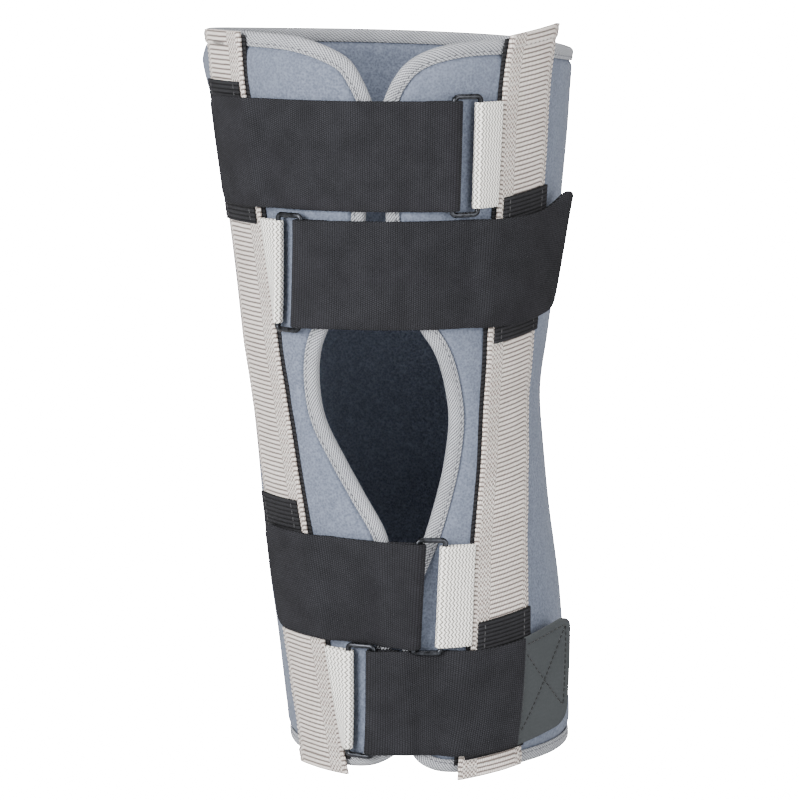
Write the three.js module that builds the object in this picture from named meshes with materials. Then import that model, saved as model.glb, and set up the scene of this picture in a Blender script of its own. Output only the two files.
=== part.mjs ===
// Knee immobilizer, shaped as it sits on a leg: a padded foam wrap open down the front with a
// keyhole at the kneecap, two webbing strips down its sides and four straps through wire rings.
// Millimetres. +Z is up, the front of the knee faces -Y, +X is to the right seen from the front.
// The origin is on the ground under the middle of the whole object.
import * as THREE from 'three';

// The limb that the sleeve's outer face follows
const height = 350;
const thighWidth = 177.2;
const thighDepth = 184;
const calfShift = 19.8;
const kneeForward = 5;
const twistAtHem = THREE.MathUtils.degToRad(-4.2);
const twistAtTop = THREE.MathUtils.degToRad(3.7);

// The foam and the tape bound round its edge
const foamThickness = 7;
const pinchedThickness = 3.4;
const swellLength = 3.8;
const tapeThickness = 1;
const tapeLeg = 6.6;
const openingWidth = 68;
const notchDepth = 29.5;
const hemRise = 13;
const topClearance = 3.5;

// Beside the top of the left strip the foam stands up
const bulgeRise = 2.1;
const bulgeBelowTop = 21;
const bulgeHalfHeight = 14;
const bulgeAngle = THREE.MathUtils.degToRad(-86);
const bulgeSpread = THREE.MathUtils.degToRad(13);

// The side strips, their underlay and the hook patches on them
const stayWidth = 32;
const stayReach = 64;
const webbingThickness = 1.3;
const backingThickness = 0.6;
const backingShow = 1.8;
const patchThickness = 1.2;
const patchInset = 2.6;
const underlayMargin = 1.5;
const stayDrop = { left: 3.3, right: 0 };
const stayTilt = { left: 0, right: 0.14 };

// The straps, their keepers and the wire rings
const strapWidth = 50;
const strapThickness = 2.2;
const sewnBack = 12;
const keeperWidth = 48;
const keeperThickness = 1;
const ringWidth = 15;
const wireDiameter = 2.5;
const ringCorner = 2;
const ringSlack = 0.8;
const endCurl = 0.0034;
const tabCorner = 6;

// Room between pieces: flat faces, and cloth lying on curved cloth
const clearance = 0.3;
const layerGap = 0.45;

// How finely the curved faces are cut
const cutsAround = 38;
const cutsUp = 22;
const stayCuts = 26;
const wireSides = 6;

// Sections of the limb. at: share of the height; width and depth: shares of the thigh's;
// lean: share of calfShift; forward: share of kneeForward
const limbSections = [
  { at: 0, width: 0.764, depth: 0.754, lean: 1, forward: 0.36 },
  { at: 0.074, width: 0.773, depth: 0.772, lean: 0.918, forward: 0.2 },
  { at: 0.211, width: 0.783, depth: 0.793, lean: 0.656, forward: 0 },
  { at: 0.269, width: 0.781, depth: 0.793, lean: 0.535, forward: 0.2 },
  { at: 0.349, width: 0.777, depth: 0.793, lean: 0.394, forward: 0.6 },
  { at: 0.429, width: 0.774, depth: 0.804, lean: 0.272, forward: 0.8 },
  { at: 0.503, width: 0.781, depth: 0.821, lean: 0.172, forward: 1 },
  { at: 0.577, width: 0.822, depth: 0.848, lean: 0.151, forward: 1 },
  { at: 0.657, width: 0.856, depth: 0.891, lean: 0.161, forward: 0.8 },
  { at: 0.749, width: 0.892, depth: 0.935, lean: 0.121, forward: 0.4 },
  { at: 0.857, width: 0.937, depth: 0.967, lean: 0.06, forward: 0.2 },
  { at: 0.931, width: 0.971, depth: 0.989, lean: 0.01, forward: 0 },
  { at: 1, width: 1, depth: 1, lean: 0, forward: 0 },
];

// Edges of the two front flaps. at: share of the height; left and right: distance from the front
// line, as shares of openingWidth
const flapEdges = [
  { at: 0.037, left: 0.047, right: 0.047 },
  { at: 0.14, left: 0.044, right: 0.038 },
  { at: 0.24, left: 0.022, right: 0.074 },
  { at: 0.286, left: -0.012, right: 0.169 },
  { at: 0.329, left: -0.009, right: 0.282 },
  { at: 0.389, left: 0.147, right: 0.409 },
  { at: 0.431, left: 0.272, right: 0.482 },
  { at: 0.489, left: 0.429, right: 0.543 },
  { at: 0.537, left: 0.463, right: 0.503 },
  { at: 0.577, left: 0.441, right: 0.419 },
  { at: 0.609, left: 0.371, right: 0.301 },
  { at: 0.669, left: 0.206, right: 0.14 },
  { at: 0.72, left: 0.11, right: 0.068 },
  { at: 0.76, left: 0.09, right: 0.053 },
  { at: 0.834, left: 0.059, right: 0.044 },
  { at: 0.906, left: 0.04, right: 0.04 },
];

// The bottom hem. at: degrees round from the front line; left and right: how high the edge is,
// as shares of hemRise. The first row is the flap's corner
const hemEdge = [
  { at: 2.7, left: 1, right: 1 },
  { at: 3.6, left: 0.84, right: 0.82 },
  { at: 6.4, left: 0.66, right: 0.54 },
  { at: 12.9, left: 0.38, right: 0.27 },
  { at: 23, left: 0.22, right: 0.18 },
  { at: 38, left: 0.2, right: 0.2 },
  { at: 63, left: 0.24, right: 0.24 },
  { at: 93, left: 0.2, right: 0.2 },
  { at: 125, left: 0.04, right: 0.04 },
  { at: 150, left: 0, right: 0 },
];

// The top edge. at: degrees round from the front line; left and right: how far the edge is below
// the top, as shares of notchDepth
const topEdge = [
  { at: 1.8, left: 1, right: 1 },
  { at: 4.6, left: 0.7, right: 0.7 },
  { at: 8.8, left: 0.39, right: 0.43 },
  { at: 15, left: 0.21, right: 0.25 },
  { at: 26, left: 0.05, right: 0.13 },
  { at: 42, left: 0, right: 0.11 },
  { at: 60, left: 0, right: 0.19 },
  { at: 93, left: 0.04, right: 0.33 },
  { at: 140, left: 0.14, right: 0.26 },
];

// Inner edges of the side strips. at: share of the height; left and right: distance from the
// front line, as shares of stayReach
const stayEdges = [
  { at: 0, left: 0.425, right: 0.388 },
  { at: 0.04, left: 0.47, right: 0.412 },
  { at: 0.085, left: 0.508, right: 0.465 },
  { at: 0.183, left: 0.558, right: 0.561 },
  { at: 0.326, left: 0.62, right: 0.67 },
  { at: 0.429, left: 0.688, right: 0.773 },
  { at: 0.514, left: 0.747, right: 0.836 },
  { at: 0.614, left: 0.838, right: 0.852 },
  { at: 0.757, left: 0.973, right: 0.908 },
  { at: 0.923, left: 1.086, right: 0.95 },
  { at: 1, left: 1.117, right: 1 },
];

// The four straps, from the top down. side: where the ring is, -1 left and 1 right; at: the
// strap's middle, share of the height; slope: rise to the right; lean: slant of the ring;
// reach: keeper seen between strip and ring bar, share of ringWidth; tab and end: where the end
// tab starts and stops past the other strip's inner edge, shares of stayWidth; flat: where the
// strap starts to curl up, share of stayWidth; lift: how far the tab stands off the limb's
// curve, 0 follows it and 1 is straight; flare: how much more its top corner does; slant: how
// much longer its top edge is, share of strapWidth; patchTop, patchLow: shares of the height
const strapRows = [
  {
    side: 1, at: 0.8347, slope: 0, lean: 0.02, reach: 0.83, tab: 0.56, end: 0.8, flat: 1.2,
    lift: 0.2, flare: 0, slant: 0, patchTop: 0.925, patchLow: 0.74,
  },
  {
    side: -1, at: 0.68, slope: 0, lean: 0.02, reach: 0.57, tab: 0.8, end: 1.36, flat: 0.1,
    lift: 1.3, flare: 0.8, slant: 0.06, patchTop: 0.789, patchLow: 0.584,
  },
  {
    side: 1, at: 0.254, slope: -0.035, lean: 0.133, reach: 1, tab: 0.5, end: 0.84, flat: 1.2,
    lift: 0.5, flare: 0, slant: 0, patchTop: 0.371, patchLow: 0.211,
  },
  {
    side: -1, at: 0.1065, slope: 0, lean: 0.09, reach: 0.63, tab: 0.84, end: 1.68, flat: 0,
    lift: 1, flare: 0.1, slant: 0, patchTop: 0.224, patchLow: 0.027,
  },
];

// Smooth value of one column of a table, by the slopes between its rows
function readTable(rows, column, at) {
  let k = 0;
  while (k < rows.length - 2 && at > rows[k + 1].at) k += 1;
  const slopeAt = (i) => {
    const before = rows[Math.max(i - 1, 0)];
    const after = rows[Math.min(i + 1, rows.length - 1)];
    return (after[column] - before[column]) / (after.at - before.at);
  };
  const from = rows[k];
  const to = rows[k + 1];
  const span = to.at - from.at;
  const t = THREE.MathUtils.clamp((at - from.at) / span, 0, 1);
  const rise = to[column] - from[column];
  const startBend = slopeAt(k) * span - rise;
  const endBend = rise - slopeAt(k + 1) * span;
  return from[column] + t * rise + t * (1 - t) * ((1 - t) * startBend + t * endBend);
}

const sideName = (side) => (side < 0 ? 'left' : 'right');

// The limb at one height: half sizes and centre
function limbAt(z) {
  const at = z / height;
  return {
    halfWidth: (readTable(limbSections, 'width', at) * thighWidth) / 2,
    halfDepth: (readTable(limbSections, 'depth', at) * thighDepth) / 2,
    x: readTable(limbSections, 'lean', at) * calfShift,
    y: -readTable(limbSections, 'forward', at) * kneeForward,
  };
}

const girthRadius = (z) => {
  const limb = limbAt(z);
  return (limb.halfWidth + limb.halfDepth) / 2;
};

// A point at an angle round from the front line, at a height, and out from the sleeve's face
function atAngle(angle, z, out) {
  const limb = limbAt(z);
  const turned = angle + THREE.MathUtils.lerp(twistAtHem, twistAtTop, z / height);
  const x = limb.x + (limb.halfWidth + out) * Math.sin(turned);
  const y = limb.y - (limb.halfDepth + out) * Math.cos(turned);
  return new THREE.Vector3(x, y, z);
}

// The same with the distance round the limb in millimetres, positive to the right
const onLimb = (across, z, out) => atAngle(across / girthRadius(z), z, out);

// Distance from the front line to the inner edge of a side strip
const stayEdge = (side, z) => readTable(stayEdges, sideName(side), z / height) * stayReach;

// One closed body from points and faces, turned so that its faces point out
function bodyFrom(points, faces) {
  const across = new THREE.Vector3();
  let volume = 0;
  for (const [a, b, c] of faces) {
    volume += points[a].dot(across.crossVectors(points[b], points[c]));
  }
  const outward = volume > 0 ? faces : faces.map(([a, b, c]) => [a, c, b]);
  const geometry = new THREE.BufferGeometry();
  geometry.setFromPoints(points);
  geometry.setIndex(outward.flat());
  return geometry;
}

// Two triangles of a four-cornered face
const quad = (a, b, c, d) => [[a, b, c], [a, c, d]];

// A sheet with a thickness: place(i, j, face) gives its points on face 1 (out) and face 0 (in)
function sheetBody(cutsLong, cutsWide, place) {
  const points = [];
  const index = [[], []];
  for (const face of [0, 1]) {
    for (let i = 0; i <= cutsLong; i += 1) {
      index[face].push([]);
      for (let j = 0; j <= cutsWide; j += 1) {
        index[face][i].push(points.length);
        points.push(place(i, j, face));
      }
    }
  }
  const faces = [];
  const [low, high] = index;
  for (let i = 0; i < cutsLong; i += 1) {
    for (let j = 0; j < cutsWide; j += 1) {
      faces.push(...quad(high[i][j], high[i + 1][j], high[i + 1][j + 1], high[i][j + 1]));
      faces.push(...quad(low[i][j], low[i][j + 1], low[i + 1][j + 1], low[i + 1][j]));
    }
  }
  for (let i = 0; i < cutsLong; i += 1) {
    faces.push(...quad(low[i][0], low[i + 1][0], high[i + 1][0], high[i][0]));
    faces.push(...quad(low[i][cutsWide], high[i][cutsWide], high[i + 1][cutsWide], low[i + 1][cutsWide]));
  }
  for (let j = 0; j < cutsWide; j += 1) {
    faces.push(...quad(low[0][j], high[0][j], high[0][j + 1], low[0][j + 1]));
    faces.push(...quad(low[cutsLong][j], low[cutsLong][j + 1], high[cutsLong][j + 1], high[cutsLong][j]));
  }
  return bodyFrom(points, faces);
}

// A section carried round a closed path: place(i, k) gives corner k of the section at step i
function loopBody(steps, corners, place) {
  const points = [];
  const faces = [];
  for (let i = 0; i < steps; i += 1) {
    for (let k = 0; k < corners; k += 1) points.push(place(i, k));
  }
  for (let i = 0; i < steps; i += 1) {
    const next = ((i + 1) % steps) * corners;
    for (let k = 0; k < corners; k += 1) {
      const side = (k + 1) % corners;
      faces.push(...quad(i * corners + k, next + k, next + side, i * corners + side));
    }
  }
  return bodyFrom(points, faces);
}

// Points spaced along a curve through an edge's rows, closer together towards its ends
function edgePoints(rows, cuts, crowding) {
  const spread = girthRadius(height / 2);
  const bends = rows.map(({ angle, z }) => new THREE.Vector3(angle * spread, z, 0));
  const curve = new THREE.CatmullRomCurve3(bends, false, 'centripetal');
  curve.arcLengthDivisions = 600;
  return Array.from({ length: cuts + 1 }, (unused, i) => {
    const t = i / cuts;
    const share = t - (crowding * Math.sin(2 * Math.PI * t)) / (2 * Math.PI);
    const point = curve.getPointAt(share);
    return { angle: point.x / spread, z: Math.max(point.y, 0), share };
  });
}

// The sleeve's outline on the limb, from its rows: the bottom and top edges run round the back
// from the left flap to the right one
const fullTurn = 2 * Math.PI;
const topHem = height - topClearance;

function edgeRound(rows, heightOf) {
  const left = rows.map((row) => ({ angle: -THREE.MathUtils.degToRad(row.at), z: heightOf(row.left) }));
  const right = rows.map((row) => ({
    angle: THREE.MathUtils.degToRad(row.at) - fullTurn, z: heightOf(row.right),
  }));
  return [...left, ...right.reverse()];
}

function flapEdge(side, from, to) {
  const rows = flapEdges.slice(1, -1).map((row) => {
    const z = row.at * height;
    const angle = (side * row[sideName(side)] * openingWidth) / girthRadius(z);
    return { angle: side > 0 ? angle - fullTurn : angle, z };
  });
  return [from, ...rows, to];
}

const bottomRows = edgeRound(hemEdge, (share) => share * hemRise);
const topRows = edgeRound(topEdge, (share) => topHem - share * notchDepth);
const crowdRound = 0.35;
const bottomPoints = edgePoints(bottomRows, cutsAround, crowdRound);
const topPoints = edgePoints(topRows, cutsAround, crowdRound);
const leftPoints = edgePoints(flapEdge(-1, bottomRows[0], topRows[0]), cutsUp, 0);
const rightPoints = edgePoints(flapEdge(1, bottomRows.at(-1), topRows.at(-1)), cutsUp, 0);

// The whole edge as one closed walk, and the cell of the grid that each point belongs to
const edgeWalk = [];
for (let i = 0; i < cutsAround; i += 1) edgeWalk.push({ ...bottomPoints[i], cell: [i, 0] });
for (let j = 0; j < cutsUp; j += 1) edgeWalk.push({ ...rightPoints[j], cell: [cutsAround, j] });
for (let i = cutsAround; i > 0; i -= 1) edgeWalk.push({ ...topPoints[i], cell: [i, cutsUp] });
for (let j = cutsUp; j > 0; j -= 1) edgeWalk.push({ ...leftPoints[j], cell: [0, j] });

// A point of the walk moved in from the edge, square to it
function inFromEdge(index, distance) {
  const here = edgeWalk[index];
  const before = edgeWalk[(index + edgeWalk.length - 1) % edgeWalk.length];
  const after = edgeWalk[(index + 1) % edgeWalk.length];
  const radius = girthRadius(here.z);
  const along = new THREE.Vector2((after.angle - before.angle) * radius, after.z - before.z).normalize();
  return { angle: here.angle + (along.y * distance) / radius, z: here.z - along.x * distance };
}

// The foam: two rings of faces along its edge and a grid between them
const sleeveEdge = tapeThickness + clearance;
const pinchEnd = tapeLeg + layerGap;
const pinchDepth = (foamThickness - pinchedThickness) / 2;

function bulge({ angle, z }) {
  const round = (angle - bulgeAngle) / bulgeSpread;
  const up = (z - height + bulgeBelowTop) / bulgeHalfHeight;
  return bulgeRise * Math.exp(-round * round - up * up);
}

function foamSleeve() {
  const grid = Array.from({ length: cutsAround + 1 }, () => []);
  edgeWalk.forEach((unused, index) => {
    const [i, j] = edgeWalk[index].cell;
    grid[i][j] = inFromEdge(index, pinchEnd + swellLength);
  });
  const blend = (key, u, v, i, j) => {
    const upDown = (1 - v) * grid[i][0][key] + v * grid[i][cutsUp][key];
    const leftRight = (1 - u) * grid[0][j][key] + u * grid[cutsAround][j][key];
    const low = (1 - u) * grid[0][0][key] + u * grid[cutsAround][0][key];
    const high = (1 - u) * grid[0][cutsUp][key] + u * grid[cutsAround][cutsUp][key];
    return upDown + leftRight - (1 - v) * low - v * high;
  };
  for (let i = 1; i < cutsAround; i += 1) {
    for (let j = 1; j < cutsUp; j += 1) {
      const u = (bottomPoints[i].share + topPoints[i].share) / 2;
      const v = j / cutsUp;
      grid[i][j] = { angle: blend('angle', u, v, i, j), z: blend('z', u, v, i, j) };
    }
  }
  const points = [];
  const faces = [];
  const facePoints = [-foamThickness, 0].map((full, face) => {
    const pinched = full + (face ? -pinchDepth : pinchDepth);
    const keep = (spot, out) => points.push(atAngle(spot.angle, spot.z, out)) - 1;
    return {
      rim: edgeWalk.map((unused, index) => keep(inFromEdge(index, sleeveEdge), pinched)),
      pinch: edgeWalk.map((unused, index) => keep(inFromEdge(index, pinchEnd), pinched)),
      grid: grid.map((column) => column.map((spot) => keep(spot, full + (face ? bulge(spot) : 0)))),
    };
  });
  const turns = [([a, b, c, d]) => quad(a, b, c, d), ([a, b, c, d]) => quad(d, c, b, a)];
  facePoints.forEach(({ rim, pinch, grid: cells }, face) => {
    const turn = turns[face];
    edgeWalk.forEach((spot, index) => {
      const next = (index + 1) % edgeWalk.length;
      const [i, j] = spot.cell;
      const [nextI, nextJ] = edgeWalk[next].cell;
      faces.push(...turn([rim[index], rim[next], pinch[next], pinch[index]]));
      faces.push(...turn([pinch[index], pinch[next], cells[nextI][nextJ], cells[i][j]]));
    });
    for (let i = 0; i < cutsAround; i += 1) {
      for (let j = 0; j < cutsUp; j += 1) {
        faces.push(...turn([cells[i][j], cells[i + 1][j], cells[i + 1][j + 1], cells[i][j + 1]]));
      }
    }
  });
  const [inner, outer] = facePoints;
  edgeWalk.forEach((unused, index) => {
    const next = (index + 1) % edgeWalk.length;
    faces.push(...quad(inner.rim[next], inner.rim[index], outer.rim[index], outer.rim[next]));
  });
  return bodyFrom(points, faces);
}

// The binding tape: a U-shaped section carried round the whole edge of the foam
function edgeBinding() {
  const outFace = -pinchDepth + clearance;
  const inFace = -foamThickness + pinchDepth - clearance;
  const section = [
    [tapeLeg, outFace + tapeThickness],
    [0, outFace + tapeThickness],
    [0, inFace - tapeThickness],
    [tapeLeg, inFace - tapeThickness],
    [tapeLeg, inFace],
    [tapeThickness, inFace],
    [tapeThickness, outFace],
    [tapeLeg, outFace],
  ];
  return loopBody(edgeWalk.length, section.length, (index, corner) => {
    const [distance, out] = section[corner];
    const spot = inFromEdge(index, distance);
    return atAngle(spot.angle, spot.z, out);
  });
}

// Levels of the layers on the sleeve, out from its face
const backingFoot = layerGap;
const webbingFoot = backingFoot + backingThickness + clearance;
const patchFoot = webbingFoot + webbingThickness + clearance;
const strapOverPatch = patchFoot + patchThickness + layerGap + strapThickness / 2;
const strapOnFoam = layerGap + strapThickness / 2;
const foldRadius = wireDiameter / 2 + clearance + strapThickness / 2;
const ringLevel = strapOnFoam + foldRadius;

// A strip along a stay: from and to are distances past the stay's inner edge. Its ends rise
// outwards by the stay's tilt
function stayBody(side, from, to, low, high, foot, thickness, cuts, cutsWide) {
  const tilt = stayTilt[sideName(side)];
  return sheetBody(cuts, cutsWide, (i, j, face) => {
    const past = THREE.MathUtils.lerp(from, to, j / cutsWide);
    const z = THREE.MathUtils.lerp(low + tilt * past, high - tilt * (stayWidth - past), i / cuts);
    return onLimb(side * (stayEdge(side, z) + past), z, foot + face * thickness);
  });
}

const stayTop = (side) => height - stayDrop[sideName(side)];

function stayWebbing(side) {
  return stayBody(side, 0, stayWidth, 0, stayTop(side), webbingFoot, webbingThickness, stayCuts, 4);
}

function stayBacking(side) {
  const low = 2 * topClearance;
  const high = stayTop(side) - underlayMargin;
  const to = stayWidth - underlayMargin;
  return stayBody(side, -backingShow, to, low, high, backingFoot, backingThickness, stayCuts, 3);
}

function hookPatch(row) {
  const low = row.patchLow * height;
  const high = row.patchTop * height;
  return stayBody(-row.side, patchInset, stayWidth, low, high, patchFoot, patchThickness, 6, 4);
}

// Everything on one strap is placed from its ring: q runs along the strap from the ring's middle,
// positive towards the keeper, and rise runs up from the strap's middle line. Past its ramp the
// strap follows the slant of the strip that it is fastened to
const barOffset = (ringWidth - wireDiameter) / 2;
const ramp = 5;

function strapPlan(row) {
  const middle = row.at * height;
  const ringAcross = stayEdge(row.side, middle) - row.reach * ringWidth - barOffset;
  const anchorEdge = -(stayEdge(-row.side, middle) + ringAcross);
  const curlFrom = anchorEdge - row.flat * stayWidth;
  const fade = strapWidth / 2;
  const place = (q, rise, out) => {
    const curl = q < curlFrom ? endCurl * (q - curlFrom) ** 2 : 0;
    const nearRing = THREE.MathUtils.clamp(1 + (q + barOffset) / fade, 0, 1);
    const nearAnchor = THREE.MathUtils.clamp((anchorEdge + fade - q) / (fade - ramp), 0, 1);
    const edgeShift = stayEdge(-row.side, middle + rise) - stayEdge(-row.side, middle);
    const along = ringAcross + q - edgeShift * nearAnchor;
    const across = row.side * along + row.lean * rise * nearRing;
    const z = middle + row.slope * row.side * along + curl + rise;
    return onLimb(across, z, out);
  };
  return { row, middle, ringAcross, anchorEdge, place };
}

// The wire ring: a rounded rectangle of round wire, its long bars bent with the limb
function wireRing(plan) {
  const halfHigh = (strapWidth + ringSlack + wireDiameter) / 2;
  const cornerCuts = 3;
  const path = [];
  [[1, 1], [-1, 1], [-1, -1], [1, -1]].forEach(([right, up], corner) => {
    if (right === up) {
      const middle = new THREE.Vector2(right * barOffset, 0);
      path.push({ spot: middle, aside: new THREE.Vector2(right, 0) });
    }
    for (let cut = 0; cut <= cornerCuts; cut += 1) {
      const angle = ((corner + cut / cornerCuts) * Math.PI) / 2;
      const aside = new THREE.Vector2(Math.cos(angle), Math.sin(angle));
      const centre = new THREE.Vector2(right * (barOffset - ringCorner), up * (halfHigh - ringCorner));
      path.push({ spot: centre.addScaledVector(aside, ringCorner), aside });
    }
  });
  const radius = wireDiameter / 2;
  return loopBody(path.length, wireSides, (step, corner) => {
    const around = (corner * fullTurn) / wireSides;
    const { spot, aside } = path[step];
    const edge = spot.clone().addScaledVector(aside, radius * Math.cos(around));
    return plan.place(edge.x, edge.y, ringLevel + radius * Math.sin(around));
  });
}

// Part of a turn round a ring's bar: points [q, out], with the angles measured from the keeper's side
function foldRound(bar, radius, from, to) {
  const cuts = 6;
  return Array.from({ length: cuts + 1 }, (unused, i) => {
    const angle = THREE.MathUtils.lerp(from, to, i / cuts);
    return [bar + radius * Math.cos(angle), ringLevel + radius * Math.sin(angle)];
  });
}

// A ribbon of even thickness along a path of [q, out] points, placed across its width
function ribbonBody(path, thickness, cutsWide, place) {
  return sheetBody(path.length - 1, cutsWide, (i, j, face) => {
    const [q, out] = path[i];
    const before = path[Math.max(i - 1, 0)];
    const after = path[Math.min(i + 1, path.length - 1)];
    const along = new THREE.Vector2(after[0] - before[0], after[1] - before[1]).normalize();
    const offset = (face - 0.5) * thickness;
    return place(q - along.y * offset, j / cutsWide - 0.5, out + along.x * offset, i);
  });
}

// The keeper: a ribbon from the strip's edge round the ring's outer bar and back, pulled straight
function ringKeeper(plan) {
  const { row, middle, place } = plan;
  const radius = wireDiameter / 2 + clearance + keeperThickness / 2;
  const tailLow = webbingFoot + keeperThickness / 2;
  const tailHigh = tailLow + keeperThickness + clearance;
  const reach = row.reach * ringWidth - layerGap;
  const tail = barOffset + reach;
  const leaveAngle = (level, face) => {
    const drop = level - ringLevel;
    return Math.atan2(drop, reach) + face * Math.acos(radius / Math.hypot(reach, drop));
  };
  const path = [
    [tail, tailLow],
    ...foldRound(barOffset, radius, leaveAngle(tailLow, -1), leaveAngle(tailHigh, 1) - fullTurn),
    [tail, tailHigh],
  ];
  return ribbonBody(path, keeperThickness, 2, (q, share, out) => {
    const rise = share * keeperWidth;
    const edgeShift = stayEdge(row.side, middle + rise) - stayEdge(row.side, middle);
    const towardsTail = THREE.MathUtils.clamp((q - barOffset) / reach, 0, 1);
    return place(q + (edgeShift - row.side * row.lean * rise) * towardsTail, rise, out);
  });
}

// Levels along a strap, from the ring's bar to its end: q and out of the strap's middle layer
function strapLevels(plan) {
  const sewnEnd = -barOffset - sewnBack;
  const onSewn = strapOnFoam + strapThickness + clearance;
  const rise = plan.anchorEdge + ramp / 2;
  return [
    { at: -barOffset, out: ringLevel + foldRadius },
    { at: -barOffset - ramp, out: (ringLevel + foldRadius + onSewn) / 2 },
    { at: -barOffset - 2 * ramp, out: onSewn },
    { at: sewnEnd - 1, out: onSewn },
    { at: sewnEnd - 1 - ramp, out: strapOnFoam },
    { at: rise + ramp, out: strapOnFoam },
    { at: rise, out: strapOverPatch },
    { at: rise - 2 * stayWidth, out: strapOverPatch },
  ];
}

function levelAt(levels, q) {
  const next = levels.findIndex((row) => row.at <= q);
  if (next <= 0) return levels[next < 0 ? levels.length - 1 : 0].out;
  const from = levels[next - 1];
  const to = levels[next];
  return THREE.MathUtils.lerp(from.out, to.out, (q - from.at) / (to.at - from.at));
}

// Evenly spaced stops between two places, with the levels' own bends kept
function stopsBetween(levels, from, to, longest) {
  const bends = levels.map((row) => row.at).filter((q) => q < from - 1 && q > to + 1);
  const marks = [from, ...bends, to];
  const stops = [from];
  for (let k = 1; k < marks.length; k += 1) {
    const pieces = Math.ceil((marks[k - 1] - marks[k]) / longest);
    for (let n = 1; n <= pieces; n += 1) {
      stops.push(THREE.MathUtils.lerp(marks[k - 1], marks[k], n / pieces));
    }
  }
  return stops;
}

const longestStop = 9;

// The strap: sewn end under the strap, round the ring's inner bar, and over to the other strip
function strapBody(plan) {
  const levels = strapLevels(plan);
  const tabFrom = plan.anchorEdge - plan.row.tab * stayWidth;
  const sewnEnd = -barOffset - sewnBack;
  const cutsWide = 2;
  const path = [
    [sewnEnd, strapOnFoam], [(sewnEnd - barOffset) / 2, strapOnFoam],
    ...foldRound(-barOffset, foldRadius, -Math.PI / 2, Math.PI / 2),
    ...stopsBetween(levels, -barOffset, tabFrom, longestStop).slice(1).map((q) => [q, levelAt(levels, q)]),
  ];
  const place = (q, share, out) => plan.place(q, share * strapWidth, out);
  return ribbonBody(path, strapThickness, cutsWide, place);
}

// The end tab: it carries the strap on past the strip, straightens off the limb and has rounded
// corners
function endTab(plan) {
  const { row, middle, anchorEdge } = plan;
  const levels = strapLevels(plan);
  const from = anchorEdge - row.tab * stayWidth - clearance;
  const to = anchorEdge - row.end * stayWidth;
  const stops = stopsBetween(levels, from, to + tabCorner, longestStop);
  const cornerCuts = 3;
  for (let n = 1; n <= cornerCuts; n += 1) {
    stops.push(to + tabCorner * (1 - Math.sin((n * Math.PI) / 2 / cornerCuts)));
  }
  const bend = row.lift / (2 * girthRadius(middle));
  const path = stops.map((q) => [q, levelAt(levels, q)]);
  return ribbonBody(path, strapThickness, 4, (q, share, out, i) => {
    const along = (from - q) / (from - to);
    const past = THREE.MathUtils.clamp(1 - (stops[i] - to) / tabCorner, 0, 1);
    const narrowing = tabCorner * (1 - Math.sqrt(1 - past * past));
    const lift = bend * (1 + 2 * row.flare * share) * (from - q) ** 2;
    const longer = row.slant * strapWidth * share * along;
    return plan.place(q - longer, share * (strapWidth - 2 * narrowing), out + lift);
  });
}

// Finishes, as colour, roughness and metalness
const finishes = {
  foam: [0x8b949c, 0.95, 0],
  tape: [0xb4b5b8, 0.85, 0],
  webbing: [0xc7beb9, 0.85, 0],
  keeper: [0xe9e6df, 0.8, 0],
  hook: [0x2c2b2c, 0.8, 0],
  strap: [0x45464a, 0.9, 0],
  wire: [0x2b2b2e, 0.4, 0.9],
};

function named(name, geometry, finish) {
  const [color, roughness, metalness] = finishes[finish];
  const mesh = new THREE.Mesh(geometry, new THREE.MeshStandardMaterial({ color, roughness, metalness }));
  mesh.name = name;
  return mesh;
}

const brace = new THREE.Group();
brace.add(named('foam_sleeve', foamSleeve(), 'foam'));
brace.add(named('edge_binding', edgeBinding(), 'tape'));
for (const side of [-1, 1]) {
  brace.add(named(`stay_webbing_${sideName(side)}`, stayWebbing(side), 'webbing'));
  brace.add(named(`stay_backing_${sideName(side)}`, stayBacking(side), 'hook'));
}
strapRows.forEach((row, index) => {
  const number = index + 1;
  const plan = strapPlan(row);
  brace.add(named(`hook_patch_${number}`, hookPatch(row), 'hook'));
  brace.add(named(`ring_keeper_${number}`, ringKeeper(plan), 'keeper'));
  brace.add(named(`wire_ring_${number}`, wireRing(plan), 'wire'));
  brace.add(named(`strap_${number}`, strapBody(plan), 'strap'));
  brace.add(named(`end_tab_${number}`, endTab(plan), 'strap'));
});

// Centred over the origin, standing on the ground
const box = new THREE.Box3().setFromObject(brace);
const centre = box.getCenter(new THREE.Vector3());
brace.position.set(-centre.x, -centre.y, -box.min.z);

export default brace;
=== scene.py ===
# %% [markdown]
# # A knee immobilizer, dressed
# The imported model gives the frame: a foam wrap with its bound edge, two webbing strips, four straps
# and their rings. Here each of those plain solids gets the cloth, webbing, wire and thread that the
# real one shows. Everything is worked out in millimetres round the wrap and placed in metres.

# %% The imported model
import json
import math

import bmesh
import bpy
from mathutils import Matrix, Vector, noise
from mathutils.kdtree import KDTree


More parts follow.
